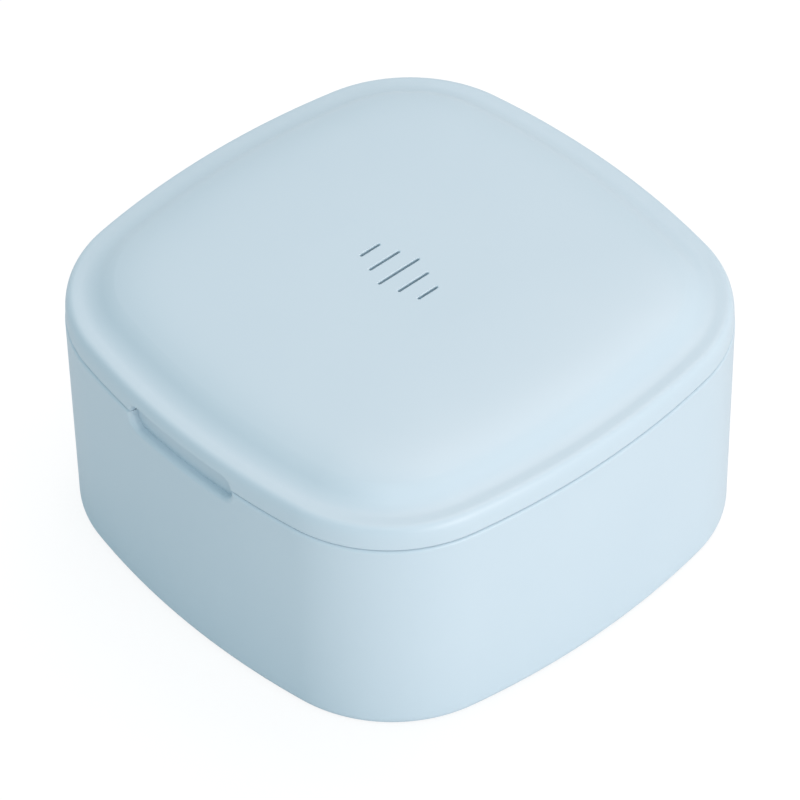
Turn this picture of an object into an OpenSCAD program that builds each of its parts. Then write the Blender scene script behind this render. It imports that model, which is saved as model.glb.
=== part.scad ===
// Denture case: a square box with bowed sides, a pillow-shaped hinged lid with five vent slots,
// a finger notch in front, and a strainer basket with a swing handle inside.
// Origin: centre of the base, on the surface that the case stands on. Front is -Y, the hinge is at +Y.
// Every ring of the shells is the case's outline moved inwards by an "inset", at a height z.

/* [Case outline] */
// Width and depth across the middle of the sides, at the seam
case_w = 95; // [86:1:115]
// Radius of the gently bowed sides
side_r = 139; // [120:1:220]
// Radius of the rounded corners
corner_r = 24.8; // [18:0.2:32]
// Height of the seam between tub and lid
seam_h = 40.2; // [36:0.2:60]
// How far the tub narrows from the seam down to its base, on each side
tub_draft = 0.37; // [0:0.01:1.5]

/* [Tub] */
// Thickness of the tub's side walls
tub_wall = 2.7; // [2.2:0.1:3.6]
// Thickness of the tub's floor
floor_t = 2.4; // [1.6:0.1:4]
// Radius of the edge round the base
base_edge_r = 2.3; // [1:0.1:4]
// Inset of the hollow inside the foot ring
foot_ring_in = 7.5; // [5.5:0.5:14]
// Depth of the hollow inside the foot ring
foot_hollow = 0.6; // [0.2:0.1:1.5]
// Radius where the inner wall meets the floor
floor_fillet = 4; // [1:0.5:6]
// Height of the inner collar that stands above the seam
collar_h = 2.1; // [1.4:0.1:2.2]
// Thickness of the inner collar
collar_t = 1.1; // [0.8:0.05:1.4]
// Radius of the tub's outer edge at the seam
seam_edge_r = 0.5; // [0.2:0.05:0.8]
// Softened edge of the thin parts
edge_soft = 0.25; // [0.1:0.05:0.3]

/* [Lid] */
// Open line at the seam between tub and lid
seam_gap = 0.15; // [0.1:0.05:0.3]
// Step of the lid's side inside the tub's side
lid_step = 0.14; // [0:0.01:0.5]
// Thickness of the lid's skirt
skirt_t = 1.15; // [0.8:0.05:1.3]
// Height of the upright part of the lid's side above the seam
skirt_h = 1.9; // [1.4:0.05:2.6]
// Height of the rim above the seam, where its rounded edge ends
rim_h = 4.6; // [4.2:0.05:6]
// Inset at which the rim's rounded edge ends
rim_in = 2.2; // [1.6:0.1:3]
// How square the rim's rounded edge is, 2 is an ellipse
rim_power = 2.7; // [2:0.1:4]
// Height of the narrow ledge inside the rim, above the seam
ledge_h = 4.65; // [4.1:0.05:5.5]
// Inset at which the ledge ends and the pillow rises
ledge_in = 3.5; // [3.2:0.1:5.5]
// Height of the pillow's shoulder above the seam
shoulder_h = 6.85; // [6:0.05:8]
// Inset of the pillow's shoulder
shoulder_in = 8.4; // [8:0.1:14]
// Height of the pillow's crown above the seam
crown_h = 9.25; // [8.6:0.05:14]
// Share of the pillow's height over its shoulder that is a plain dome
dome_share = 0.58; // [0.3:0.02:0.9]
// How tightly the rest of that height bends at the shoulder
crown_power = 9; // [4:0.5:12]
// Thickness of the lid's top
lid_t = 1.7; // [1.2:0.1:2]
// Height of the lid's flat ceiling over the collar, above the seam
ceiling_h = 3.1; // [2.9:0.05:3.3]
// Depth of the rib that holds the gasket
rib_h = 1.7; // [1.2:0.1:2]
// Thickness of the rib that holds the gasket
rib_t = 1; // [0.8:0.1:1.6]

/* [Vent slots] */
// Number of slots
vent_n = 5; // [1:2:9]
// Distance from slot to slot
vent_pitch = 3.45; // [2:0.05:5]
// Length of the middle slot
vent_len = 8.8; // [5:0.05:16]
// How much shorter each next slot is
vent_step = 2.3; // [0:0.05:3]
// Width of a slot
vent_w = 0.7; // [0.5:0.05:1.6]

/* [Finger notch] */
// Width of the notch
notch_w = 24.3; // [14:0.1:36]
// Height of the notch's part in the lid
notch_up = 2.3; // [1:0.05:2.4]
// Depth of the notch's part in the tub
notch_down = 2.7; // [1:0.05:6]
// Radius of the notch's corners
notch_r = 2.2; // [0.4:0.1:2.4]
// How much deeper than the notch the collar's face lies
notch_face_step = 0.15; // [0.1:0.05:0.3]

/* [Hinge] */
// Diameter of the hinge pins
pin_d = 1.6; // [1:0.1:2]
// Outer diameter of the hinge barrel
barrel_d = 3.8; // [3.2:0.1:4.2]
// Distance from the back of the case to the hinge axis
axis_out = 1.1; // [0.9:0.1:2]
// Distance from the seam down to the hinge axis
axis_down = 3; // [2.4:0.1:5]
// Width of the lid's knuckle
knuckle_w = 18; // [14:1:30]
// Width of each of the tub's two knuckles
ear_w = 5; // [4:0.5:10]
// Distance from the hinge axis down to the end of the tub's knuckles on the wall
ear_foot = 6; // [4:0.5:9]
// Height above the seam at which the lid's hinge arm leaves the lid's side
arm_h = 2.2; // [1.4:0.1:2.6]
// Play between the knuckles along the pin
knuckle_gap = 0.3; // [0.2:0.05:0.6]
// Length of the part of a pin that turns in the lid's knuckle
pin_in_lid = 6; // [4:0.5:7]
// Play round a pin in the lid's knuckle
pin_play = 0.05; // [0.03:0.01:0.1]
// Play round a pin in the tub's knuckle
pin_seat_play = 0.01; // [0.01:0.01:0.03]

/* [Gasket] */
// Width of the flat gasket ring
gasket_w = 2.4; // [1.6:0.1:2.4]
// Play between the gasket and the lid's skirt
gasket_edge = 0.1; // [0.05:0.05:0.3]
// Gap between the gasket and the collar's top
gasket_gap = 0.1; // [0.05:0.05:0.3]

/* [Vent guard] */
// Diameter of the splash guard under the vent slots
guard_d = 26; // [22:0.5:34]
// Thickness of the guard
guard_t = 1.2; // [0.8:0.1:2]
// Open height between the guard and the lid
guard_drop = 1.6; // [1:0.1:2.4]
// Diameter of the lid's pegs that carry the guard
peg_d = 2.2; // [1.6:0.1:3]
// Play round a peg in the guard's hole
peg_play = 0.05; // [0.02:0.01:0.1]
// Distance of the pegs from the guard's centre
peg_at = 10.4; // [8.8:0.1:14]

/* [Basket] */
// Play between the basket and the tub's wall at the top
basket_gap = 0.8; // [0.5:0.1:1.6]
// Distance from the seam down to the basket's top
basket_down = 3.7; // [3:0.1:10]
// Thickness of the basket's wall
basket_wall = 1.4; // [1:0.1:2]
// How far the basket narrows from top to bottom, on each side
basket_draft = 2.2; // [1:0.1:4]
// Width of the basket's rolled edge, measured from its wall
lip_w = 1.2; // [0.6:0.1:1.6]
// Height of the basket's rolled edge
lip_h = 2; // [1:0.1:3]
// Height of the basket's feet
basket_foot_h = 3; // [2:0.1:6]
// Diameter of the basket's feet
basket_foot_d = 6; // [4:0.5:6]
// Distance of the feet from the middle, along X and along Y
basket_foot_at = 28; // [26:1:30]
// Gap between the feet and the tub's floor
basket_seat = 0.2; // [0.1:0.05:0.4]
// Thickness of the basket's floor
basket_floor_t = 1.6; // [1:0.1:2.5]
// Diameter of the drain holes
hole_d = 4.2; // [2:0.1:5]
// Distance from drain hole to drain hole
hole_pitch = 8; // [7:0.5:14]
// Width of the upright slots in the basket's wall
wall_slot_w = 3; // [1.5:0.1:4]
// Distance from the basket's floor up to the slots
wall_slot_up = 2.8; // [2:0.1:5]
// Height of the upright slots
wall_slot_h = 15; // [8:0.5:18]
// Distance from slot to slot
wall_slot_pitch = 8; // [6:0.5:12]
// Number of slots in each side
wall_slot_n = 7; // [3:2:7]

/* [Basket handle] */
// Width of the handle's flat band
band_w = 3.4; // [2.6:0.1:5]
// Thickness of the handle's band
band_t = 2.4; // [2.4:0.1:3]
// Play between the handle and the basket's wall
band_gap = 0.6; // [0.4:0.1:1.2]
// Distance from the basket's top down to the handle's top
band_down = 1.1; // [0.8:0.1:3]
// Diameter of the pivot studs
stud_d = 2; // [1.6:0.1:2.2]
// Diameter of the round eyes at the handle's ends
eye_d = 4.2; // [3.6:0.1:4.4]
// Diameter of the bosses on the basket round the studs
boss_d = 5; // [4:0.1:6]
// Play round a pivot stud in its hole
stud_play = 0.05; // [0.03:0.01:0.1]
// Width of the finger tab on the grip
tab_w = 16; // [10:1:24]
// How far the finger tab reaches inwards from the grip
tab_in = 3; // [2:0.5:6]
// Width of each rest under the handle
rest_w = 4; // [3:0.5:6]
// Height of each rest under the handle
rest_h = 1.6; // [1:0.1:3]
// Gap between the rests and the handle
rest_gap = 0.2; // [0.1:0.05:0.4]
// Place of the rests, from the middle towards the front
rest_at = 18; // [10:1:22]

/* [Hidden] */

case_blue = "#C3D9E4";
inner_white = "#EEF2F3";
seal_white = "#E4E9EA";
steel = "#BFC3C6";

// Fineness of the shells: steps in one bowed side, in one corner and in one rounded edge
side_steps = 8;
corner_steps = 14;
edge_steps = 3;
// Steps in the lid's rim and in its slope, in a quarter of a round corner and in a slot's round end
rim_steps = 4;
slope_steps = 6;
box_steps = 6;
bar_steps = 8;
// Reach of a cutter past what it cuts
past = 1;
// Share of the crown's half width that its flat middle covers
flat_share = 0.28;
// Shares of the crown's half width at which its rings lie, outside and underneath
crown_shares = [0.96, 0.9, 0.82, 0.68, 0.48];
under_shares = [0.48, 0.8, 0.92];

// Outline
half = case_w / 2;
bow_at = half - side_r;
corner_at = (bow_at + sqrt(2 * pow(side_r - corner_r, 2) - pow(bow_at, 2))) / 2;
bow_turn = atan2(corner_at, corner_at - bow_at);

// Heights of the tub
floor_z = foot_hollow + floor_t;
collar_in = tub_wall - collar_t;
collar_z = seam_h + collar_h;
notch_in = collar_in - notch_face_step;

// Insets and heights of the lid
skirt_in = lid_step + skirt_t;
ceiling_z = seam_h + ceiling_h;
crown_z = seam_h + crown_h;
gasket_in = skirt_in + edge_soft + gasket_edge;
rib_in = gasket_in + gasket_w;
crown_rise = crown_h - shoulder_h;
crown_slope = crown_rise * (2 * dome_share + crown_power * (1 - dome_share))
    / ((1 - flat_share) * (half - shoulder_in));

// Hinge
axis_y = half + axis_out;
axis_z = seam_h - axis_down;
barrel_r = barrel_d / 2;
ear_x = knuckle_w / 2 + knuckle_gap;
// The knuckles' feet start in the middle of the wall, which bows away from them
ear_root_y = half - tub_wall / 2 - barrel_r / 2;
pin_len = ear_w + knuckle_gap + pin_in_lid;
pin_bevel = 0.2;
// Depth at which feet and arm enter the barrels, as a share of the radius, and their turn from the level
barrel_bite = 0.9;
foot_turn = -25;
arm_turn = 32;

// Vent guard
guard_z = crown_z - lid_t - guard_drop - guard_t;

// Basket and handle
basket_z = seam_h - basket_down;
basket_in = tub_wall + basket_gap;
basket_wall_in = basket_in + lip_w;
basket_foot_z = floor_z + basket_seat;
basket_bottom_z = basket_foot_z + basket_foot_h;
basket_floor_z = basket_bottom_z + edge_soft;
band_in = basket_wall_in + basket_wall + band_gap;
band_z = basket_z - band_down - band_t;
stud_z = band_z + band_t / 2;
rest_y = -rest_at;
wall_slot_z = basket_floor_z + basket_floor_t + wall_slot_up;

// Outline points at an inset: four bowed sides and four corners, as arcs that run into each other
function arc_points(at, r, from, to, steps) = [for (i = [0:steps - 1])
    let (a = from + (to - from) * i / steps) [at[0] + r * cos(a), at[1] + r * sin(a)]];

function quarter(inset) = concat(
    arc_points([bow_at, 0], side_r - inset, -bow_turn, bow_turn, side_steps),
    arc_points([corner_at, corner_at], corner_r - inset, bow_turn, 90 - bow_turn, corner_steps));

// Place along X of the side wall's curve at an inset, at the given y
function side_x(inset, y) = bow_at + sqrt(pow(side_r - inset, 2) - y * y);

function turned(p, a) = [p[0] * cos(a) - p[1] * sin(a), p[0] * sin(a) + p[1] * cos(a)];

function parallel_outline(inset) = [for (q = [0:3]) each [for (p = quarter(inset)) turned(p, 90 * q)]];

// Past the pillow's shoulder the outline shrinks as a whole, so that it closes on the middle
function outline(inset) = inset <= shoulder_in
    ? parallel_outline(inset)
    : [for (p = parallel_outline(shoulder_in)) p * (half - inset) / (half - shoulder_in)];

// Solid through a closed or open run of rings, each [inset, z]; an open run is capped at both ends
module shell(rings, closed = false) {
    n = 4 * (side_steps + corner_steps);
    m = len(rings);
    points = [for (r = rings) each [for (p = outline(r[0])) [p[0], p[1], r[1]]]];
    bands = closed ? m : m - 1;
    sides = [for (i = [0:bands - 1]) let (a = i * n, b = ((i + 1) % m) * n)
        each [for (j = [0:n - 1]) let (k = (j + 1) % n)
            each [[a + j, b + j, b + k], [a + j, b + k, a + k]]]];
    caps = closed ? [] : [[for (j = [0:n - 1]) j], [for (j = [n - 1:-1:0]) (m - 1) * n + j]];
    polyhedron(points = points, faces = concat(sides, caps), convexity = 10);
}

// Flat plate with the case's outline
module plate(inset, z, h) translate([0, 0, z]) linear_extrude(h) polygon(outline(inset));

// Points of a bar with round ends, and of a rectangle with round corners
function round_bar(l, w) = let (r = w / 2, s = (l - w) / 2) concat(
    [for (i = [0:bar_steps]) let (a = 180 * i / bar_steps) [r * cos(a), s + r * sin(a)]],
    [for (i = [0:bar_steps]) let (a = 180 + 180 * i / bar_steps) [r * cos(a), -s + r * sin(a)]]);

function round_box(x, low, high, r) = [
    for (c = [[x - r, high - r, 0], [r - x, high - r, 90], [r - x, low + r, 180], [x - r, low + r, 270]])
        each [for (i = [0:box_steps]) let (a = c[2] + 90 * i / box_steps)
            [c[0] + r * cos(a), c[1] + r * sin(a)]]];

// Bar along X with a profile of [y, z] points, centred at x
module bar_x(profile, w, x = 0)
    translate([x - w / 2, 0, 0]) rotate([90, 0, 90]) linear_extrude(w) polygon(profile);

module rod_x(d, w, x, y, z, fn = 40)
    translate([x - w / 2, y, z]) rotate([0, 90, 0]) cylinder(d = d, h = w, $fn = fn);

// Lid's outer surface: height above the seam at an inset. The rim goes by the share u of its width that
// is left to its crest, the crown by the share of the outline that is left to the middle
function blend(u, z0, z1, end_rise = 0) =
    z0 + (z1 - z0) * u * u * (3 - 2 * u) + end_rise * u * u * (u - 1);

function rim_z(u) = skirt_h + (rim_h - skirt_h) * pow(1 - pow(u, rim_power), 1 / rim_power);

function crown_z_at(share) = let (u = (share - flat_share) / (1 - flat_share))
    crown_h - crown_rise * (dome_share * u * u + (1 - dome_share) * pow(u, crown_power));

function top_h(inset) =
    inset <= rim_in ? rim_z((rim_in - inset) / (rim_in - lid_step))
    : inset <= ledge_in ? blend((inset - rim_in) / (ledge_in - rim_in), rim_h, ledge_h)
    : inset <= shoulder_in ? blend((inset - ledge_in) / (shoulder_in - ledge_in),
        ledge_h, shoulder_h, crown_slope * (shoulder_in - ledge_in))
    : crown_z_at((half - inset) / (half - shoulder_in));

function crown_in(share) = half - (half - shoulder_in) * share;

function steps_between(from, to, n) = [for (i = [1:n]) from + (to - from) * i / n];

lid_outside = concat(
    [[lid_step + edge_soft, seam_gap], [lid_step, seam_gap + edge_soft]],
    [for (i = [0:rim_steps]) let (u = cos(90 * i / rim_steps)) [rim_in - (rim_in - lid_step) * u, rim_z(u)]],
    [for (t = steps_between(rim_in, ledge_in, 2)) [t, top_h(t)]],
    [for (t = steps_between(ledge_in, shoulder_in, slope_steps)) [t, top_h(t)]],
    [for (s = crown_shares) [crown_in(s), crown_z_at(s)]],
    [[crown_in(flat_share), crown_h]]);

under_insets = [shoulder_in, (shoulder_in + ledge_in + lid_t) / 2];

lid_inside = concat(
    [[crown_in(flat_share), crown_h - lid_t]],
    [for (s = under_shares) [crown_in(s), crown_z_at(s) - lid_t]],
    [for (t = under_insets) [t, top_h(t) - lid_t]],
    [[rib_in + rib_t, ceiling_h], [rib_in + rib_t, ceiling_h - rib_h], [rib_in, ceiling_h - rib_h],
     [rib_in, ceiling_h], [skirt_in + edge_soft, ceiling_h], [skirt_in, ceiling_h - edge_soft],
     [skirt_in, seam_gap + edge_soft], [skirt_in - edge_soft, seam_gap]]);

// Finger notch, cut from the front as deep as the given inset
module notch_cut(inset)
    difference() {
        translate([0, -half - past, 0]) rotate([-90, 0, 0]) linear_extrude(half)
            polygon([for (p = round_box(notch_w / 2, seam_h - notch_down, seam_h + notch_up, notch_r))
                [p[0], -p[1]]]);
        plate(inset, 0, case_w);
    }

// Point [y, z] a little inside a barrel's surface, at a turn from the level
function barrel_point(turn) =
    [axis_y + barrel_bite * barrel_r * cos(turn), axis_z + barrel_bite * barrel_r * sin(turn)];

// Tub: outer box with foot ring, inner collar, finger notch, hinge pocket and two hinge knuckles
module tub_shell() shell(concat(
    [[foot_ring_in, foot_hollow], [foot_ring_in - foot_hollow, 0]],
    [for (i = [0:edge_steps]) let (a = 90 * i / edge_steps)
        [tub_draft + base_edge_r * (1 - sin(a)), base_edge_r * (1 - cos(a))]],
    [for (i = [0:edge_steps]) let (a = 90 * i / edge_steps)
        [seam_edge_r * (1 - cos(a)), seam_h - seam_edge_r * (1 - sin(a))]],
    [[collar_in, seam_h],
     [collar_in, collar_z - edge_soft], [collar_in + edge_soft, collar_z],
     [tub_wall - edge_soft, collar_z], [tub_wall, collar_z - edge_soft]],
    [for (i = [0:edge_steps]) let (a = 90 * i / edge_steps)
        [tub_wall + tub_draft + floor_fillet * (1 - cos(a)), floor_z + floor_fillet * (1 - sin(a))]]));

module ear(x) {
    foot = [[ear_root_y, axis_z + barrel_bite * barrel_r], [axis_y, axis_z + barrel_bite * barrel_r],
            barrel_point(foot_turn), [ear_root_y, axis_z - ear_foot]];
    rod_x(barrel_d, ear_w, x, axis_y, axis_z);
    bar_x(foot, ear_w, x);
}

module tub() color(case_blue) difference() {
    union() {
        tub_shell();
        for (side = [-1, 1]) ear(side * (ear_x + ear_w / 2));
    }
    notch_cut(notch_in);
    // Pocket in the back wall for the lid's knuckle and arm
    rod_x(barrel_d + 2 * knuckle_gap, knuckle_w + 2 * knuckle_gap, 0, axis_y, axis_z);
    translate([-ear_x, axis_y - barrel_r - knuckle_gap, axis_z])
        cube([2 * ear_x, barrel_d, seam_h - axis_z + past]);
    rod_x(pin_d + 2 * pin_seat_play, 2 * (ear_x + ear_w + past), 0, axis_y, axis_z);
}

// Hinge pins: pressed into the tub's knuckles from both sides, the lid's knuckle turns on them
module hinge_pin(side) color(steel)
    translate([side * (ear_x + ear_w), axis_y, axis_z]) rotate([0, -90 * side, 0])
        rotate_extrude($fn = 40) polygon([
            [0, 0], [pin_d / 2 - pin_bevel, 0], [pin_d / 2, pin_bevel],
            [pin_d / 2, pin_len - pin_bevel], [pin_d / 2 - pin_bevel, pin_len], [0, pin_len]]);

module hinge_pin_left() hinge_pin(-1);
module hinge_pin_right() hinge_pin(1);

// Lid: pillow top with a rounded rim, skirt, gasket rib, guard pegs and the hinge arm with its knuckle
module lid_shell() translate([0, 0, seam_h]) shell(concat(lid_inside, lid_outside));

module hinge_arm() {
    arm = [barrel_point(180), [axis_y - barrel_bite * barrel_r, seam_h + arm_h / 2],
           [half - skirt_in / 2, seam_h + arm_h], barrel_point(arm_turn)];
    rod_x(barrel_d, knuckle_w, 0, axis_y, axis_z);
    bar_x(arm, knuckle_w);
}

module lid() color(case_blue) difference() {
    union() {
        lid_shell();
        hinge_arm();
        for (a = [45:90:315]) rotate(a) translate([peg_at, 0, guard_z])
            cylinder(d = peg_d, h = guard_t + guard_drop + lid_t / 2, $fn = 32);
    }
    rod_x(pin_d + 2 * pin_play, knuckle_w + 2 * past, 0, axis_y, axis_z);
    notch_cut(skirt_in + edge_soft);
    for (i = [0:vent_n - 1]) let (k = i - (vent_n - 1) / 2)
        translate([k * vent_pitch, 0, crown_z - lid_t - past]) linear_extrude(lid_t + 2 * past)
            polygon(round_bar(vent_len - vent_step * abs(k), vent_w));
}

// Gasket: flat silicone ring between the skirt and the rib, over the collar
module lid_gasket() color(seal_white) shell([
    [gasket_in, collar_z + gasket_gap], [gasket_in, ceiling_z],
    [rib_in, ceiling_z], [rib_in, collar_z + gasket_gap]], closed = true);

// Splash guard: disc with a softened rim that sits on the lid's four pegs, below the vent slots
module vent_guard() color(case_blue) difference() {
    translate([0, 0, guard_z]) rotate_extrude($fn = 72) polygon([
        [0, 0], [guard_d / 2 - edge_soft, 0], [guard_d / 2, edge_soft],
        [guard_d / 2, guard_t - edge_soft], [guard_d / 2 - edge_soft, guard_t], [0, guard_t]]);
    for (a = [45:90:315]) rotate(a) translate([peg_at, 0, guard_z - past])
        cylinder(d = peg_d + 2 * peg_play, h = guard_t + 2 * past, $fn = 32);
}

// Basket: tapered strainer with a rolled edge, drain holes, upright slots, feet and pivot holes
module basket_wall_ring() shell([
    [basket_wall_in + basket_draft, basket_bottom_z],
    [basket_wall_in, basket_z - lip_h],
    [basket_in, basket_z - lip_h + lip_w / 2], [basket_in, basket_z - edge_soft],
    [basket_in + edge_soft, basket_z], [basket_wall_in + basket_wall - edge_soft, basket_z],
    [basket_wall_in + basket_wall, basket_z - edge_soft],
    [basket_wall_in + basket_wall + basket_draft, basket_bottom_z]], closed = true);

module basket_holes() {
    reach = half - basket_wall_in - basket_draft - basket_wall - hole_d;
    corner_reach = corner_at * sqrt(2) + corner_r - (half - reach);
    n = floor(reach / hole_pitch);
    for (i = [-n:n], j = [-n:n]) if (norm([i, j]) * hole_pitch <= corner_reach)
        translate([i * hole_pitch, j * hole_pitch, basket_floor_z - past])
            cylinder(d = hole_d, h = basket_floor_t + 2 * past, $fn = 24);
}

module wall_slots()
    for (i = [0:wall_slot_n - 1], a = [0, 90]) rotate(a)
        translate([-half, (i - (wall_slot_n - 1) / 2) * wall_slot_pitch - wall_slot_w / 2, wall_slot_z])
            cube([case_w, wall_slot_w, wall_slot_h]);

module handle_rest(side) {
    from = side_x(basket_wall_in + basket_wall / 2, rest_y);
    to = side_x(band_in + band_w / 2, rest_y) - basket_draft;
    translate([side > 0 ? to : -from, rest_y - rest_w / 2, band_z - rest_gap - rest_h])
        cube([from - to, rest_w, rest_h]);
}

module pivot_boss(side) {
    outer = half - basket_in - edge_soft;
    inner = half - basket_wall_in - basket_wall / 2;
    rod_x(boss_d, outer - inner, side * (outer + inner) / 2, 0, stud_z);
}

module basket() color(inner_white) difference() {
    union() {
        basket_wall_ring();
        plate(basket_wall_in + basket_draft + basket_wall / 2, basket_floor_z, basket_floor_t);
        for (x = [-1, 1], y = [-1, 1])
            translate([x * basket_foot_at, y * basket_foot_at, basket_foot_z])
                cylinder(d = basket_foot_d, $fn = 40,
                         h = basket_floor_z - basket_foot_z + basket_floor_t / 2);
        for (side = [-1, 1]) {
            pivot_boss(side);
            handle_rest(side);
        }
    }
    basket_holes();
    wall_slots();
    for (side = [-1, 1])
        rod_x(stud_d + 2 * stud_play, tub_wall + band_in, side * (half - basket_wall_in), 0, stud_z);
}

// Handle: flat band that lies round the front half of the basket, with a finger tab, eyes and studs
module basket_handle() color(inner_white) {
    eye_x = half - band_in - band_w / 2;
    stud_end = half - basket_in - 2 * edge_soft;
    difference() {
        plate(band_in, band_z, band_t);
        plate(band_in + band_w, band_z - past, band_t + 2 * past);
        translate([-half, 0, band_z - past]) cube([case_w, half, band_t + 2 * past]);
    }
    translate([0, band_in + band_w - half, band_z]) linear_extrude(band_t)
        polygon(round_box(tab_w / 2, -band_w / 2, tab_in, tab_in / 2));
    for (side = [-1, 1]) {
        rod_x(eye_d, band_w, side * eye_x, 0, stud_z);
        rod_x(stud_d, stud_end - eye_x, side * (stud_end + eye_x) / 2, 0, stud_z);
    }
}

tub();
hinge_pin_left();
hinge_pin_right();
lid();
lid_gasket();
vent_guard();
basket();
basket_handle();
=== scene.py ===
import math

import bmesh
import bpy
from mathutils import Matrix, Vector


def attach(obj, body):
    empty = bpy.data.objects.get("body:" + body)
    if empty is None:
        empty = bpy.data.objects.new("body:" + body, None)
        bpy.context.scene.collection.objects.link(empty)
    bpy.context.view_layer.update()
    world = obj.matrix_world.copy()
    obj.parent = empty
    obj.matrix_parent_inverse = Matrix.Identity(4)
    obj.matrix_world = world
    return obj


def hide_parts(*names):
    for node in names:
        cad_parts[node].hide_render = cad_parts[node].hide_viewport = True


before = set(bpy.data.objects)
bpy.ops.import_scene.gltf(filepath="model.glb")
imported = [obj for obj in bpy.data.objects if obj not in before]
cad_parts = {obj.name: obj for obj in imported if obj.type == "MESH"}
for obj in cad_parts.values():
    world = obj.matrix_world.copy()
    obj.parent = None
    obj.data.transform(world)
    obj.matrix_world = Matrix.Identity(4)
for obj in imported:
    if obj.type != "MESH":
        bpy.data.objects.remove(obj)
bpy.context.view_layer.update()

# ---- Tub
# The lower half of the case: a square box with bowed sides, injection moulded in light blue
# polypropylene. Its shoulder carries the lid and its thin collar stands up inside it. Two hinge
# knuckles stand out at the back, with a pocket between them for the lid's knuckle.
MM = 0.001
# Sizes are in mm. A name in _in is an inset from the case's outline, one in _z a height above the
# table, and fine is a small rounding: its radius and its steps.
half = 47.5
side_r, corner_r = 139.0, 24.8
bow_at = half - side_r
corner_at = (bow_at + math.sqrt(2 * (side_r - corner_r) ** 2 - bow_at ** 2)) / 2
bow_turn = math.atan2(corner_at, corner_at - bow_at)
corner_turn = math.pi / 2 - 2 * bow_turn
seam_h, tub_draft, tub_wall = 40.2, 0.37, 2.7
draft_low, draft_high, draft_ease = 3.4, 38.2, 0.02
base_edge_r, flat_run = 1.9, 0.6
foot_ring_in, foot_hollow = 7.5, 0.6
floor_z, floor_fillet, floor_run = 3.0, 4.0, 1.0
inside_low, inside_high, inside_ease = 8.0, 39.5, 0.05
seam_edge_r, collar_in, collar_z = 0.6, 1.6, 42.3
axis_y, axis_z, barrel_r = 48.6, 37.2, 1.9
knuckle_w, ear_w, knuckle_gap, pin_hole_r = 18.0, 5.0, 0.3, 0.81
ear_root_y, ear_top, ear_foot, ear_turns = 45.2, 0.9, 6.0, (64.2, -45)
pocket_top, pin_hole_len = 41.5, 60.0
notch_w, notch_up, notch_down, notch_r, notch_lip_r = 24.3, 2.3, 2.7, 2.2, 0.9
notch_bite = 0.03
fine = (0.2, 3)


def pick(kind, test):
    """Selects the vertices, edges or faces of the piece in hand whose middle, in mm, passes
    the test."""
    shape = bmesh.from_edit_mesh(bpy.context.object.data)
    bpy.ops.mesh.select_mode(type={"verts": "VERT", "edges": "EDGE", "faces": "FACE"}[kind])
    bpy.ops.mesh.select_all(action="DESELECT")
    for part in getattr(shape, kind):
        if kind == "verts":
            middle = part.co / MM
        elif kind == "edges":
            middle = (part.verts[0].co + part.verts[1].co) / 2 / MM
        else:
            middle = part.calc_center_median() / MM
        if test(middle, part):
            part.select_set(True)
    shape.select_flush_mode()
    bmesh.update_edit_mesh(bpy.context.object.data)


def draw(name, line, closed=False):
    """Draws a line of edges from point to point, then rounds off its corners.
    A point is x, y, z in mm, and where its corner is rounded also the radius and the steps."""
    bpy.ops.object.select_all(action="DESELECT")
    bpy.ops.mesh.primitive_plane_add(size=MM, enter_editmode=True, location=(0, 0, 0))
    piece = bpy.context.object
    piece.name = name
    bpy.ops.mesh.select_mode(type="VERT")
    bpy.ops.mesh.select_all(action="SELECT")
    bpy.ops.mesh.merge(type="CENTER")
    bpy.ops.transform.translate(value=Vector(line[0][:3]) * MM)
    for a, b in zip(line, line[1:]):
        step = (Vector(b[:3]) - Vector(a[:3])) * MM
        bpy.ops.mesh.extrude_vertices_move(TRANSFORM_OT_translate={"value": step})
    if closed:
        ends = [Vector(point[:3]) for point in (line[0], line[-1])]
        pick("verts", lambda p, v: min((p - end).length for end in ends) < 0.001)
        bpy.ops.mesh.edge_face_add()
    for point in line:
        if len(point) > 3:
            pick("verts", lambda p, v: (p - Vector(point[:3])).length < 0.001)
            bpy.ops.mesh.bevel(affect="VERTICES", offset=point[3] * MM, segments=point[4])
    return piece


def section(points):
    """Turns inset, height and rounding into points on the middle of the right side."""
    return [(half - p[0], 0, *p[1:]) for p in points]


def spin(middle, quarter, angle, steps):
    """Carries what is selected round an arc of the outline, whose middle is turned by quarters."""
    at = Matrix.Rotation(math.radians(90 * quarter), 3, "Z") @ Vector((*middle, 0))
    bpy.ops.mesh.spin(steps=steps, angle=angle, center=at * MM, axis=(0, 0, -1))


def sweep(side_steps=20, corner_steps=40):
    """Carries a drawn section once round the case, along its four bowed sides and four corners."""
    bpy.ops.mesh.select_mode(type="VERT")
    bpy.ops.mesh.select_all(action="SELECT")
    for quarter in range(4):
        if quarter:
            spin((bow_at, 0), quarter, 2 * bow_turn, side_steps)
        else:
            spin((bow_at, 0), quarter, bow_turn, side_steps // 2)
        spin((corner_at, corner_at), quarter, corner_turn, corner_steps)
    spin((bow_at, 0), 4, bow_turn, side_steps // 2)
    bpy.ops.mesh.select_all(action="SELECT")
    bpy.ops.mesh.remove_doubles(threshold=0.002 * MM)


def close_up():
    """Fills the open rings, turns all faces outwards and leaves edit mode."""
    bpy.ops.mesh.select_all(action="SELECT")
    bpy.ops.mesh.fill_holes(sides=0)
    bpy.ops.mesh.select_all(action="SELECT")
    bpy.ops.mesh.normals_make_consistent(inside=False)
    bpy.ops.object.mode_set(mode="OBJECT")


def arc(y, z, r, start, end, steps):
    """Points on an arc round (y, z) in the plane across the hinge, between angles in degrees."""
    turns = [math.radians(start + (end - start) * i / steps) for i in range(steps + 1)]
    return [(y + r * math.cos(a), z + r * math.sin(a)) for a in turns]


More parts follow.
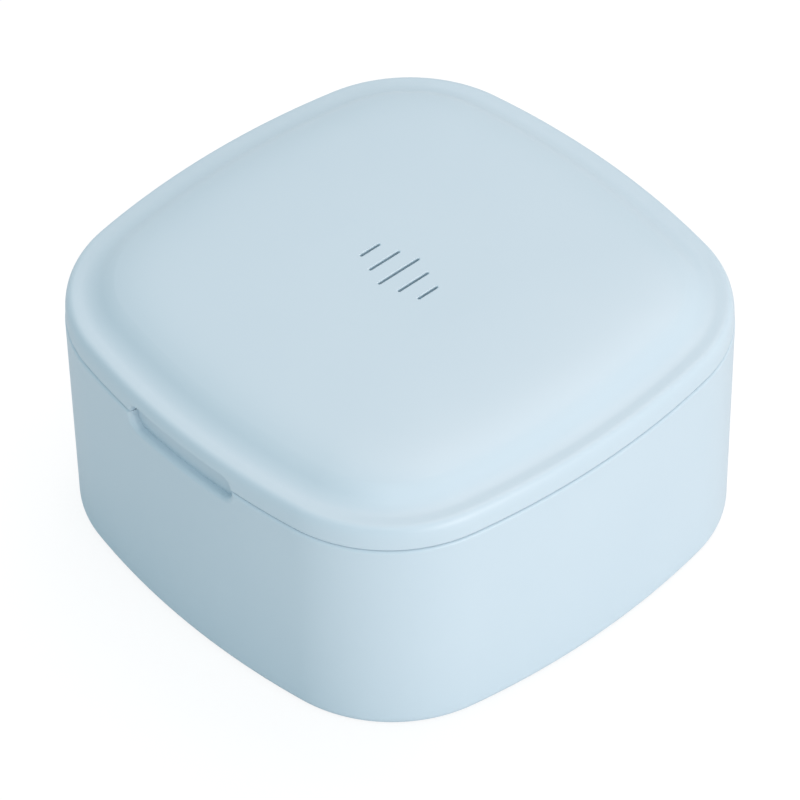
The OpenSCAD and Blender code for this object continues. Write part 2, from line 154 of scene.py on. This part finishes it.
def slab(name, outline, width, soft=0.0):
    """Fills an outline of (y, z) points and pulls it along X to the width, centred, with softened
    edges."""
    piece = draw(name, [(-width / 2, y, z) for y, z in outline], closed=True)
    bpy.ops.mesh.select_all(action="SELECT")
    bpy.ops.mesh.edge_face_add()
    bpy.ops.mesh.extrude_region_move(TRANSFORM_OT_translate={"value": (width * MM, 0, 0)})
    if soft:
        pick("edges", lambda p, e: abs(abs(p.x) - width / 2) < 0.001)
        bpy.ops.mesh.bevel(offset=soft * MM, segments=3)
    close_up()
    return piece


def rod(name, r, length, at, soft=0.0):
    """A rod along X with softened ends, centred at a point in mm."""
    bpy.ops.object.select_all(action="DESELECT")
    bpy.ops.mesh.primitive_cylinder_add(vertices=48, radius=r * MM, depth=length * MM,
                                        rotation=(0, math.pi / 2, 0))
    piece = bpy.context.object
    piece.name = name
    piece.location = Vector(at) * MM
    bpy.ops.object.transform_apply()
    if soft:
        bpy.ops.object.mode_set(mode="EDIT")
        pick("edges", lambda p, e: abs(abs(p.x - at[0]) - length / 2) < 0.001)
        bpy.ops.mesh.bevel(offset=soft * MM, segments=3)
        bpy.ops.object.mode_set(mode="OBJECT")
    return piece


def work(piece, tool, how):
    """Unites a piece with a tool, or cuts the tool out of it, and takes the tool away."""
    bpy.ops.object.select_all(action="DESELECT")
    bpy.context.view_layer.objects.active = piece
    piece.select_set(True)
    step = piece.modifiers.new(how, "BOOLEAN")
    step.operation, step.object, step.solver = how, tool, "MANIFOLD"
    bpy.ops.object.modifier_apply(modifier=step.name)
    bpy.data.objects.remove(tool)


def set_out(piece, places):
    """Puts a copy of a piece, with a mesh of its own, at each place in mm, and takes the piece
    itself away."""
    copies = []
    for place in places:
        twin = piece.copy()
        twin.data = piece.data.copy()
        bpy.context.scene.collection.objects.link(twin)
        twin.data.transform(Matrix.Translation(Vector(place) * MM))
        copies.append(twin)
    bpy.data.objects.remove(piece)
    return copies


def join(pieces):
    """Makes one object of several."""
    bpy.ops.object.select_all(action="DESELECT")
    for one in pieces:
        one.select_set(True)
    bpy.context.view_layer.objects.active = pieces[0]
    bpy.ops.object.join()
    return pieces[0]


def smooth(piece):
    """Shades a piece smooth, with hard edges kept where it turns by more than 35 degrees."""
    bpy.ops.object.select_all(action="DESELECT")
    bpy.context.view_layer.objects.active = piece
    piece.select_set(True)
    bpy.ops.object.shade_smooth_by_angle(angle=math.radians(35))
    even = piece.modifiers.new("even", "WEIGHTED_NORMAL")
    even.keep_sharp = True
    bpy.ops.object.modifier_apply(modifier=even.name)


def notch_tool(face, depth, lip_r):
    """Cutter for the finger notch: a flat bar with round corners, flared where it leaves the face
    at one inset, bent to the bow of the side and cut off at the inset of its depth."""
    x, low, high = notch_w / 2, -notch_down, notch_up
    start, end, spare = depth + 1, face - 1.5, 2
    corners = [(x, start, low), (x, start, high), (-x, start, high), (-x, start, low)]
    piece = draw("notch", [(*c, notch_r, 10) for c in corners], closed=True)
    pick("edges", lambda p, e: abs(p.x) < x - notch_r)
    bpy.ops.mesh.subdivide(number_cuts=20)
    bpy.ops.mesh.select_all(action="SELECT")
    bpy.ops.mesh.edge_face_add()
    at, grown = start, 0.0
    turns = [math.pi / 2 * i / 6 for i in range(7)]
    flare = [(face + lip_r * (1 - math.sin(a)), lip_r * (1 - math.cos(a))) for a in turns]
    for inset, grow in [*flare, (end, lip_r)]:
        bpy.ops.mesh.extrude_region_move(
            TRANSFORM_OT_translate={"value": (0, (inset - at) * MM, 0)})
        wide = (x + grow) / (x + grown)
        tall = (high - low + 2 * grow) / (high - low + 2 * grown)
        bpy.ops.transform.resize(value=(wide, 1, tall),
                                 center_override=(0, 0, (low + high) / 2 * MM))
        at, grown = inset, grow
    close_up()
    bow = piece.modifiers.new("bow", "SIMPLE_DEFORM")
    bow.deform_method, bow.deform_axis, bow.angle = "BEND", "Z", 2 * (x + lip_r) / side_r
    bpy.ops.object.modifier_apply(modifier=bow.name)
    piece.location = Vector((0, -half, seam_h)) * MM
    bpy.ops.object.transform_apply()
    behind = draw("behind", section([(depth, seam_h + low - spare),
                                     (depth, seam_h + high + spare)]))
    sweep()
    close_up()
    work(piece, behind, "DIFFERENCE")
    return piece


tub = draw("tub_moulding", section([
    # under the case: hollow, foot ring, flat, base edge
    (foot_ring_in + flat_run, foot_hollow), (foot_ring_in, foot_hollow, *fine),
    (foot_ring_in - foot_hollow, 0, *fine), (tub_draft + base_edge_r + flat_run, 0),
    (tub_draft, 0, base_edge_r, 10),
    # outside: the drafted wall, the shoulder at the seam and the collar
    (tub_draft - draft_ease, draft_low), (draft_ease, draft_high),
    (0, seam_h, seam_edge_r, 6), (collar_in, seam_h, 0.12, 2),
    (collar_in, collar_z, 0.3, 4), (tub_wall, collar_z, 0.3, 4),
    # inside: the drafted wall and the floor
    (tub_wall + draft_ease, inside_high), (tub_wall + tub_draft - inside_ease, inside_low),
    (tub_wall + tub_draft, floor_z, floor_fillet, 10),
    (tub_wall + tub_draft + floor_fillet + floor_run, floor_z)]))
sweep()
close_up()
ear = slab("ear", [(ear_root_y, axis_z + ear_top * barrel_r),
                   *arc(axis_y, axis_z, barrel_r, *ear_turns, 18),
                   (ear_root_y, axis_z - ear_foot)], ear_w, soft=0.2)
ear_x = knuckle_w / 2 + knuckle_gap + ear_w / 2
work(tub, join(set_out(ear, [(-ear_x, 0, 0), (ear_x, 0, 0)])), "UNION")
pocket_r = barrel_r + knuckle_gap
pocket = slab("pocket", [*arc(axis_y, axis_z, pocket_r, -180, 0, 20),
                         (axis_y + pocket_r, pocket_top), (axis_y - pocket_r, pocket_top)],
              knuckle_w + 2 * knuckle_gap)
work(tub, join([pocket, notch_tool(0, collar_in + notch_bite, notch_lip_r)]), "DIFFERENCE")
work(tub, rod("pin_hole", pin_hole_r, pin_hole_len, (0, axis_y, axis_z)), "DIFFERENCE")
smooth(tub)


def linear(code):
    """Turns an sRGB hex colour into the linear values that a shader takes."""
    parts = [int(code[i:i + 2], 16) / 255 for i in (1, 3, 5)]
    return [*(c / 12.92 if c < 0.04045 else ((c + 0.055) / 1.055) ** 2.4 for c in parts), 1]


def add(finish, kind, settings=None, links=None):
    """Adds a node to a finish, with its settings and with what feeds its sockets."""
    node = finish.node_tree.nodes.new(kind)
    for name, value in (settings or {}).items():
        if isinstance(name, int) or name in node.inputs:
            node.inputs[name].default_value = value
        else:
            setattr(node, name, value)
    for name, source in (links or {}).items():
        finish.node_tree.links.new(source, node.inputs[name])
    return node


def moulded_plastic(name, colour, deep_colour, roughness):
    """Satin moulded plastic: a fine spark-eroded grain that softens reflections, and a faint
    cloudiness, 22 mm across, where the colour didn't spread evenly. The real grain is about
    0.03 mm, drawn at 0.12 mm so that it shows."""
    finish = bpy.data.materials.new(name)
    finish.use_nodes = True
    shader = finish.node_tree.nodes["Principled BSDF"]
    shader.inputs["IOR"].default_value = 1.49
    place = add(finish, "ShaderNodeTexCoord").outputs["Object"]
    place = add(finish, "ShaderNodeMapping", {"Scale": (1 / MM, 1 / MM, 1 / MM)},
                {"Vector": place}).outputs[0]
    cloud = add(finish, "ShaderNodeTexNoise",
                {"Scale": 1 / 22, "Detail": 3.0, "Roughness": 0.5}, {"Vector": place})
    grain = add(finish, "ShaderNodeTexNoise",
                {"Scale": 1 / 0.12, "Detail": 2.0, "Roughness": 0.6}, {"Vector": place})
    tint = add(finish, "ShaderNodeMix",
               {"data_type": "RGBA", 6: linear(colour), 7: linear(deep_colour)},
               {0: cloud.outputs[0]})
    rough = add(finish, "ShaderNodeMapRange", {3: roughness - 0.05, 4: roughness + 0.05},
                {0: grain.outputs[0]})
    dents = add(finish, "ShaderNodeBump", {"Strength": 0.35, "Distance": 0.004 * MM},
                {"Height": grain.outputs[0]})
    finish.node_tree.links.new(tint.outputs[2], shader.inputs["Base Color"])
    finish.node_tree.links.new(rough.outputs[0], shader.inputs["Roughness"])
    finish.node_tree.links.new(dents.outputs[0], shader.inputs["Normal"])
    return finish


def coat(piece, finish):
    """Gives a piece one finish all over."""
    piece.data.materials.clear()
    piece.data.materials.append(finish)


# The light blue of the whole case: pale, even and satin, without a sharp reflection.
blue_plastic = moulded_plastic("moulded_polypropylene_light_blue", "#CBDBE4", "#C7D8E2", 0.4)
coat(tub, blue_plastic)
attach(tub, "case")
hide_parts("tub")

# ---- Hinge pins
# Two lengths of drawn steel wire, 1.6 mm thick, pressed into the tub's knuckles from the sides, so
# that their inner ends stand in the lid's knuckle. The lid turns on them. The solids are kept.
pin_steel = bpy.data.materials.new("drawn_steel_wire")
pin_steel.use_nodes = True
steel = pin_steel.node_tree.nodes["Principled BSDF"]
steel.inputs["Metallic"].default_value = 1.0
steel.inputs["Base Color"].default_value = linear("#C4C6C8")
# Drawing marks, 5 mm long and 0.11 mm wide, streak the sheen along the wire.
place = add(pin_steel, "ShaderNodeTexCoord").outputs["Object"]
place = add(pin_steel, "ShaderNodeMapping", {"Scale": (200, 9000, 9000)},
            {"Vector": place}).outputs[0]
streaks = add(pin_steel, "ShaderNodeTexNoise", {"Scale": 1.0, "Detail": 2.0}, {"Vector": place})
shine = add(pin_steel, "ShaderNodeMapRange", {3: 0.2, 4: 0.34}, {0: streaks.outputs[0]})
pin_steel.node_tree.links.new(shine.outputs[0], steel.inputs["Roughness"])
for node in ("hinge_pin_left", "hinge_pin_right"):
    coat(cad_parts[node], pin_steel)

# ---- Lid
# The cover, moulded in the same plastic: an upright skirt, a rounded rim, a narrow ledge and a
# pillow-shaped top with five slots. Gasket rib, guard pegs and the hinge arm are moulded below.
# The names in _h are heights above the seam.
seam_gap, lid_step, skirt_in, skirt_h = 0.15, 0.14, 1.29, 0.9
lid_edge_h, lid_edge_r = 0.6, 0.32
rim_h, rim_in, rim_power, ledge_in, steep_in = 4.5, 1.9, 2.9, 3.0, 6.2
shoulder_h, shoulder_in, crown_h = 7.2, 8.4, 9.25
dome_share, crown_power, flat_share, dome_rings = 0.5, 10, 0.28, 28
lid_t, under_in, ceiling_h, rib_in, rib_h, rib_t = 1.7, 6.4, 3.1, 4.04, 1.7, 1.0
arm_y, arm_root, arm_top, arm_from = 46.7, 0.25, 42.4, 38
guard_z, guard_t, peg_r, peg_h, peg_at = 44.95, 1.2, 1.1, 4.0, 10.4
vent_n, vent_pitch, vent_len, vent_step, vent_w, vent_soft = 5, 3.45, 8.8, 2.3, 0.46, 0.2
vent_depth, vent_over, vent_sides = 3.0, 0.5, 32
lid_hole_r, lid_hole_len, lid_notch_bite, lid_notch_lip_r = 0.85, 40.0, 0.25, 0.25
crown_rise = crown_h - shoulder_h
crown_slope = (crown_rise * (2 * dome_share + crown_power * (1 - dome_share))
               / (1 - flat_share) / (half - shoulder_in))


def top_h(inset):
    """Height of the lid's top above the seam: level on the ledge, then steepest halfway up the
    edge of the pillow, and at the shoulder as steep as the dome begins."""
    if inset <= ledge_in:
        return rim_h
    run = shoulder_in - steep_in
    steepest = (2 * (shoulder_h - rim_h) - crown_slope * run) / (shoulder_in - ledge_in)
    if inset < steep_in:
        return rim_h + steepest * (inset - ledge_in) ** 2 / 2 / (steep_in - ledge_in)
    back = shoulder_in - inset
    return shoulder_h - crown_slope * back - (steepest - crown_slope) * back ** 2 / 2 / run


def steps(a, b, n):
    """Values from a to b, both included, in n even steps."""
    return [a + (b - a) * i / n for i in range(n + 1)]


def post(r, low, high, sides, soft=0.0, soft_steps=3):
    """An upright round post on the middle line between two heights, its lower edge softened."""
    bpy.ops.object.select_all(action="DESELECT")
    bpy.ops.mesh.primitive_cylinder_add(vertices=sides, radius=r * MM, depth=(high - low) * MM,
                                        location=(0, 0, (low + high) / 2 * MM))
    bpy.ops.object.transform_apply()
    if soft:
        bpy.ops.object.mode_set(mode="EDIT")
        pick("edges", lambda p, e: abs(p.z - low) < 0.001)
        bpy.ops.mesh.bevel(offset=soft * MM, segments=soft_steps)
        bpy.ops.object.mode_set(mode="OBJECT")
    return bpy.context.object


pillow_edge = [(t, seam_h + top_h(t)) for t in steps(shoulder_in, rim_in, 24)[:-1]]
rim = [(rim_in - (rim_in - lid_step) * max(0, math.sin(a)) ** (2 / rim_power),
        seam_h + skirt_h + (rim_h - skirt_h) * max(0, math.cos(a)) ** (2 / rim_power))
       for a in steps(0, math.pi / 2, 20)]
under = [(t, seam_h + top_h(t) - lid_t) for t in steps(under_in, shoulder_in, 6)]
lid_low, ceiling_z, rib_z = seam_h + seam_gap, seam_h + ceiling_h, seam_h + ceiling_h - rib_h
lid = draw("lid_moulding", section([
    *pillow_edge, *rim,
    # the skirt down to its edge, and up inside
    (lid_step, lid_low + lid_edge_h), (lid_step, lid_low, lid_edge_r, 5),
    (skirt_in, lid_low, *fine), (skirt_in, ceiling_z, 0.25, 3),
    # the gasket's channel and rib
    (rib_in, ceiling_z), (rib_in, rib_z, *fine), (rib_in + rib_t, rib_z, *fine),
    (rib_in + rib_t, ceiling_z + 0.1, 0.3, 3), *under]))
sweep()
for height, drop in ((seam_h + shoulder_h, 0), (seam_h + shoulder_h - lid_t, lid_t)):
    pick("edges", lambda p, e: e.is_boundary and abs(p.z - height) < 0.01)
    share, z = 1.0, height
    for i in range(1, dome_rings + 1):
        u = 1 - i / dome_rings
        next_share = flat_share + (1 - flat_share) * u
        fall = crown_rise * (dome_share * u ** 2 + (1 - dome_share) * u ** crown_power)
        next_z = seam_h + crown_h - drop - fall
        bpy.ops.mesh.extrude_edges_move(TRANSFORM_OT_translate={"value": (0, 0, (next_z - z) * MM)})
        bpy.ops.transform.resize(value=(next_share / share, next_share / share, 1),
                                 center_override=(0, 0, 0))
        share, z = next_share, next_z
close_up()
arm = slab("arm", [(arm_y, arm_top), (arm_y + arm_root, arm_top),
                   *arc(axis_y, axis_z, barrel_r, arm_from, -180, 30)], knuckle_w, soft=0.2)
turns = [math.radians(45 + 90 * i) for i in range(4)]
peg_places = [(peg_at * math.cos(a), peg_at * math.sin(a), 0) for a in turns]
peg = post(peg_r, guard_z, guard_z + peg_h, 40, soft=0.2)
work(lid, join([arm, *set_out(peg, peg_places)]), "UNION")
flare = [(vent_soft * (1 - math.cos(a)), vent_soft * math.sin(a))
         for a in steps(0, math.pi / 2, 4)]
cutters = []
for i in range(vent_n):
    k = i - (vent_n - 1) / 2
    stretch = (vent_len - vent_step * abs(k) - vent_w) / 2
    bpy.ops.object.select_all(action="DESELECT")
    bpy.ops.mesh.primitive_cylinder_add(vertices=vent_sides, radius=vent_w / 2 * MM,
                                        depth=vent_depth * MM, enter_editmode=True)
    # Half a side round, so that no corner lies where the cutter is pulled apart.
    bpy.ops.transform.rotate(value=math.pi / vent_sides, orient_axis="Z",
                             center_override=(0, 0, 0))
    straight_top = seam_h + crown_h - vent_soft
    bpy.ops.transform.translate(
        value=(k * vent_pitch * MM, 0, (straight_top - vent_depth / 2) * MM))
    pick("faces", lambda p, f: f.normal.z > 0.9)
    for (x0, z0), (x1, z1) in zip(flare, flare[1:]):
        bpy.ops.mesh.extrude_region_move(TRANSFORM_OT_translate={"value": (0, 0, (z1 - z0) * MM)})
        grow = (vent_w / 2 + x1) / (vent_w / 2 + x0)
        bpy.ops.transform.resize(value=(grow, grow, 1),
                                 center_override=(k * vent_pitch * MM, 0, 0))
    bpy.ops.mesh.extrude_region_move(TRANSFORM_OT_translate={"value": (0, 0, vent_over * MM)})
    for side in (-1, 1):
        pick("verts", lambda p, v: p.y * side > 0)
        bpy.ops.transform.translate(value=(0, side * stretch * MM, 0))
    bpy.ops.mesh.select_all(action="SELECT")
    bpy.ops.mesh.normals_make_consistent(inside=False)
    bpy.ops.object.mode_set(mode="OBJECT")
    cutters.append(bpy.context.object)
cutters = [rod("pin_hole", lid_hole_r, lid_hole_len, (0, axis_y, axis_z)),
           notch_tool(lid_step, skirt_in + lid_notch_bite, lid_notch_lip_r), *cutters]
work(lid, join(cutters), "DIFFERENCE")
smooth(lid)
coat(lid, blue_plastic)
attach(lid, "cover")
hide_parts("lid")

# ---- Lid gasket
# A flat ring of milky silicone rubber, pressed into the channel between the lid's skirt and its
# rib. Its lower face lies over the tub's collar and closes the seam.
gasket_in, gasket_w, gasket_z, gasket_top = 1.64, 2.4, 42.4, 43.28
gasket_out = gasket_in + gasket_w
gasket = draw("lid_seal", section([
    (gasket_in, gasket_z, 0.25, 4), (gasket_in, gasket_top, 0.1, 2),
    (gasket_out, gasket_top, 0.1, 2), (gasket_out, gasket_z, 0.25, 4)]), closed=True)
sweep()
close_up()
smooth(gasket)
# Rubber that lets light in: soft edges that glow a little, and a duller surface than the plastic.
silicone = moulded_plastic("moulded_silicone_rubber_milky", "#E6EBEC", "#DEE5E7", 0.5)
milk = silicone.node_tree.nodes["Principled BSDF"].inputs
milk["Subsurface Weight"].default_value = 0.3
milk["Subsurface Radius"].default_value = (1.0, 1.0, 1.0)
milk["Subsurface Scale"].default_value = 1 * MM
coat(gasket, silicone)
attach(gasket, "cover")
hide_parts("lid_gasket")

# ---- Vent guard
# A small disc moulded in the blue plastic and pressed on the lid's four pegs. It keeps splashes
# off the slots, and the gas leaves round its edge.
guard_r, guard_lip_w, guard_dish, guard_soft = 13.0, 2.0, 0.3, 0.3
guard_hole_r, guard_hole_h = 1.15, 6.0
guard = post(guard_r, guard_z, guard_z + guard_t, 128)
guard.name = "splash_guard"
bpy.ops.object.mode_set(mode="EDIT")
pick("faces", lambda p, f: f.normal.z < -0.9)
bpy.ops.mesh.inset(thickness=guard_lip_w * MM)
bpy.ops.mesh.inset(thickness=guard_dish * MM)
bpy.ops.transform.translate(value=(0, 0, guard_dish * MM))
pick("edges", lambda p, e: abs(math.hypot(p.x, p.y) - guard_r) < 0.02
     and abs(e.verts[0].co.z - e.verts[1].co.z) < 0.001 * MM)
bpy.ops.mesh.bevel(offset=guard_soft * MM, segments=4)
bpy.ops.object.mode_set(mode="OBJECT")
hole = post(guard_hole_r, guard_z - guard_hole_h / 2, guard_z + guard_hole_h / 2, 40)
work(guard, join(set_out(hole, peg_places)), "DIFFERENCE")
smooth(guard)
coat(guard, blue_plastic)
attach(guard, "cover")
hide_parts("vent_guard")

# ---- Basket
# The strainer in which the denture lies, moulded in white polypropylene: tapered wall with a
# rolled edge and upright slots, a floor with drain holes, four feet, and two bosses for the
# handle's studs.
basket_z, basket_in, basket_roll_z = 36.5, 3.5, 35.1
neck_low_z, neck_high_z, inner_neck_z = 33.8, 34.5, 35.0
basket_wall_in, basket_wall, basket_draft = 4.7, 1.4, 2.2
basket_bottom_z, basket_floor_z, bottom_run, floor_in = 6.2, 8.05, 11.0, 11.5
foot_z, foot_at, foot_r, foot_lap, foot_soft = 3.2, 28.0, 3.0, 0.5, 0.5
stud_z, stud_hole_r, stud_hole_len, boss_r, boss_back = 34.2, 1.05, 92.0, 2.5, 0.25
rest_x, rest_y, rest_z = (35.7, 40.9), (-20.0, -16.0), (31.2, 32.8)
hole_r, hole_z, hole_pitch, hole_reach, hole_norm = 2.1, (4.5, 9.5), 8.0, 4, 5.2
slot_w, slot_h, slot_z, slot_pitch, slot_n = 3.0, 15.0, 10.85, 8.0, 7


def block(x, y, z, soft, soft_steps, test):
    """A box between two places along each axis, with those edges softened that pass the test."""
    bpy.ops.object.select_all(action="DESELECT")
    low, high = Vector((x[0], y[0], z[0])), Vector((x[1], y[1], z[1]))
    bpy.ops.mesh.primitive_cube_add(size=1, location=(low + high) / 2 * MM)
    piece = bpy.context.object
    piece.scale = (high - low) * MM
    bpy.ops.object.transform_apply()
    bpy.ops.object.mode_set(mode="EDIT")
    pick("edges", test)
    bpy.ops.mesh.bevel(offset=soft * MM, segments=soft_steps)
    bpy.ops.object.mode_set(mode="OBJECT")
    return piece


basket_wall_out = basket_wall_in + basket_wall
basket = draw("strainer", section([
    # the underside and the outer wall up to the rolled edge
    (bottom_run, basket_bottom_z), (basket_wall_in + basket_draft, basket_bottom_z, 0.8, 5),
    (basket_wall_in + 0.05, neck_low_z), (basket_wall_in, neck_high_z, 0.4, 3),
    (basket_in, basket_roll_z, 0.3, 3), (basket_in, basket_z, 0.4, 4),
    # the inner wall down to the floor
    (basket_wall_out, basket_z, 0.5, 4), (basket_wall_out + 0.1, inner_neck_z),
    (basket_wall_out + basket_draft - 0.3, basket_floor_z + 3),
    (basket_wall_out + basket_draft, basket_floor_z, 1.5, 6), (floor_in, basket_floor_z)]))
sweep(side_steps=16, corner_steps=20)
close_up()
foot = post(foot_r, foot_z, basket_floor_z - foot_lap, 48, soft=foot_soft, soft_steps=4)
added = set_out(foot, [(x * foot_at, y * foot_at, 0) for x in (-1, 1) for y in (-1, 1)])
boss_out, boss_in = half - basket_in - boss_back, half - basket_wall_in - basket_wall / 2
for side in (-1, 1):
    boss_x = side * (boss_out + boss_in) / 2
    added.append(rod("boss", boss_r, boss_out - boss_in, (boss_x, 0, stud_z), soft=0.2))
    # The ledge on which the handle rests; its inner edges are soft.
    added.append(block(sorted(side * x for x in rest_x), rest_y, rest_z, 0.4, 3,
                       lambda p, e: abs(p.x) < rest_x[0] + 0.3))
work(basket, join(added), "UNION")
spread = range(-hole_reach, hole_reach + 1)
hole_places = [(i * hole_pitch, j * hole_pitch, 0)
               for i in spread for j in spread if math.hypot(i, j) <= hole_norm]
work(basket, join(set_out(post(hole_r, *hole_z, 28), hole_places)), "DIFFERENCE")
bar = block((-half, half), (-slot_w / 2, slot_w / 2), (slot_z, slot_z + slot_h),
            0.48 * slot_w, 5, lambda p, e: abs(p.x) < 1)
bar_places = [(0, (i - (slot_n - 1) / 2) * slot_pitch, 0) for i in range(slot_n)]
bars = join(set_out(bar, bar_places))
across = bars.copy()
across.data = bars.data.copy()
bpy.context.scene.collection.objects.link(across)
across.data.transform(Matrix.Rotation(math.pi / 2, 4, "Z"))
work(basket, bars, "DIFFERENCE")
work(basket, across, "DIFFERENCE")
work(basket, rod("stud_holes", stud_hole_r, stud_hole_len, (0, 0, stud_z)), "DIFFERENCE")
smooth(basket)
# A neutral white beside the blue case, with the same satin surface.
white_plastic = moulded_plastic("moulded_polypropylene_white", "#EEF1F2", "#E8ECEE", 0.4)
coat(basket, white_plastic)
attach(basket, "strainer")
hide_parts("basket")

# ---- Basket handle
# A springy flat band of the same white plastic that lies round the front half of the basket. Its
# two studs snap into the basket's bosses, and a tab in the middle takes the finger.
band_in, band_w, band_z, band_t, band_soft = 6.7, 3.4, 33.0, 2.4, (0.5, 4)
eye_r, stud_r, stud_back = 2.1, 1.0, 0.5
tab_w, tab_in, tab_lap, tab_r, tab_step, tab_soft = 16.0, 3.0, 1.7, 1.5, 0.1, 0.4
handle = draw("strainer_handle", section([
    (band_in, band_z, *band_soft), (band_in, band_z + band_t, *band_soft),
    (band_in + band_w, band_z + band_t, *band_soft),
    (band_in + band_w, band_z, *band_soft)]), closed=True)
bpy.ops.mesh.select_mode(type="VERT")
bpy.ops.mesh.select_all(action="SELECT")
spin((bow_at, 0), 0, -bow_turn, 10)
spin((corner_at, corner_at), 3, -corner_turn, 28)
spin((bow_at, 0), 3, -2 * bow_turn, 20)
spin((corner_at, corner_at), 2, -corner_turn, 28)
spin((bow_at, 0), 2, -bow_turn, 10)
close_up()
grip_y = -(half - band_in - band_w)
tab_z, tab_t = band_z + tab_step, band_t - 2 * tab_step
tab = draw("tab", [
    (tab_w / 2, grip_y - tab_lap, tab_z), (tab_w / 2, grip_y + tab_in, tab_z, tab_r, 8),
    (-tab_w / 2, grip_y + tab_in, tab_z, tab_r, 8), (-tab_w / 2, grip_y - tab_lap, tab_z)],
    closed=True)
bpy.ops.mesh.select_all(action="SELECT")
bpy.ops.mesh.edge_face_add()
bpy.ops.mesh.extrude_region_move(TRANSFORM_OT_translate={"value": (0, 0, tab_t * MM)})
pick("edges", lambda p, e: abs(abs(p.z - tab_z - tab_t / 2) - tab_t / 2) < 0.001
     and p.y > grip_y - 1)
bpy.ops.mesh.bevel(offset=tab_soft * MM, segments=3)
close_up()
work(handle, tab, "UNION")
eye_x, stud_end = half - band_in - band_w / 2, half - basket_in - stud_back
for side in (-1, 1):
    work(handle, rod("eye", eye_r, band_w, (side * eye_x, 0, stud_z), soft=0.3), "UNION")
    stud_x = side * (stud_end + eye_x) / 2
    stud = rod("stud", stud_r, stud_end - eye_x, (stud_x, 0, stud_z), soft=0.2)
    work(handle, stud, "UNION")
smooth(handle)
coat(handle, white_plastic)
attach(handle, "grip")
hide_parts("basket_handle")

# ---- Floor, light and camera
# A plain white card under and behind the case. A low soft box on the right lights that side, a
# large one high at the back shades the top softly, a small weak one in front lifts the near rim,
# and a pale blue sky fills the rest.
bpy.ops.object.select_all(action="DESELECT")
bpy.ops.mesh.primitive_plane_add(size=12, location=(0, 0, 0))
floor = bpy.context.object
floor.name = "floor"
# Matt card that looks white to the camera, keeps the case's shadow and throws light back dully.
paper = bpy.data.materials.new("matt_white_card")
paper.use_nodes = True
card = paper.node_tree.nodes["Principled BSDF"]
card.inputs["Base Color"].default_value = linear("#E7E7E7")
card.inputs["Roughness"].default_value = 0.9
seen = add(paper, "ShaderNodeLightPath")
glow = add(paper, "ShaderNodeEmission", {"Strength": 0.84})
shade = add(paper, "ShaderNodeBsdfDiffuse", {"Color": linear("#7C7C7C")})
backdrop = add(paper, "ShaderNodeAddShader", None, {0: glow.outputs[0], 1: shade.outputs[0]})
mix = add(paper, "ShaderNodeMixShader", None,
          {0: seen.outputs["Is Camera Ray"], 1: card.outputs[0], 2: backdrop.outputs[0]})
sheet = paper.node_tree.nodes["Material Output"]
paper.node_tree.links.new(mix.outputs[0], sheet.inputs["Surface"])
coat(floor, paper)

world = bpy.context.scene.world or bpy.data.worlds.new("studio")
bpy.context.scene.world = world
world.use_nodes = True
sky = world.node_tree.nodes["Background"]
sky.inputs["Color"].default_value = linear("#E1F7FF")
sky.inputs["Strength"].default_value = 0.65


def toward(azimuth, elevation):
    """Direction from the case; azimuth 0 is in front and 90 degrees on the right."""
    return Vector((math.sin(azimuth) * math.cos(elevation),
                   -math.cos(azimuth) * math.cos(elevation), math.sin(elevation)))


def soft_light(name, colour, azimuth, elevation, reach, size, power):
    """A square soft box that looks at the case, with angles in degrees, sizes in metres and
    power in watts."""
    lamp = bpy.data.lights.new(name, "AREA")
    lamp.size, lamp.energy, lamp.color = size, power, linear(colour)[:3]
    box = bpy.data.objects.new(name, lamp)
    bpy.context.scene.collection.objects.link(box)
    box.location = toward(math.radians(azimuth), math.radians(elevation)) * reach
    box.rotation_euler = box.location.to_track_quat("Z", "Y").to_euler()


soft_light("side", "#FFF1EE", 90, 13, 1.4, 0.6, 8.8)
soft_light("top", "#FFE0D4", 195, 62, 1.4, 1.0, 7.6)
soft_light("front", "#FFFFFF", 45, 64, 1.4, 0.3, 1.8)

# The camera was fitted to the photograph, which is 800 pixels wide: where it stands, and which
# pixel its axis meets. It is turned a little, so that it needs no shift.
azimuth, elevation, roll = map(math.radians, (48.497, 44.007, -1.025))
distance, look_z, focal_px, photo_px, axis_px = 0.922561, 0.022475, 5631.3, 800, (400.937, 391.851)
camera = bpy.data.objects.new("camera", bpy.data.cameras.new("camera"))
bpy.context.scene.collection.objects.link(camera)
back = toward(azimuth, elevation)
right = Vector((math.cos(azimuth), math.sin(azimuth), 0))
up = right.cross(-back)
right, up = (right * math.cos(roll) + up * math.sin(roll),
             up * math.cos(roll) - right * math.sin(roll))
camera.location = Vector((0, 0, look_z)) + back * distance
aim = (right * (photo_px / 2 - axis_px[0]) - up * (photo_px / 2 - axis_px[1])) / focal_px - back
back = -aim.normalized()
right = up.cross(back).normalized()
up = back.cross(right)
camera.rotation_euler = Matrix((right, up, back)).transposed().to_euler()
camera.data.sensor_width = 36.0
camera.data.lens = focal_px * camera.data.sensor_width / photo_px
camera.data.clip_start, camera.data.clip_end = 0.05, 20
bpy.context.scene.camera = camera
bpy.context.scene.view_settings.view_transform = "Standard"
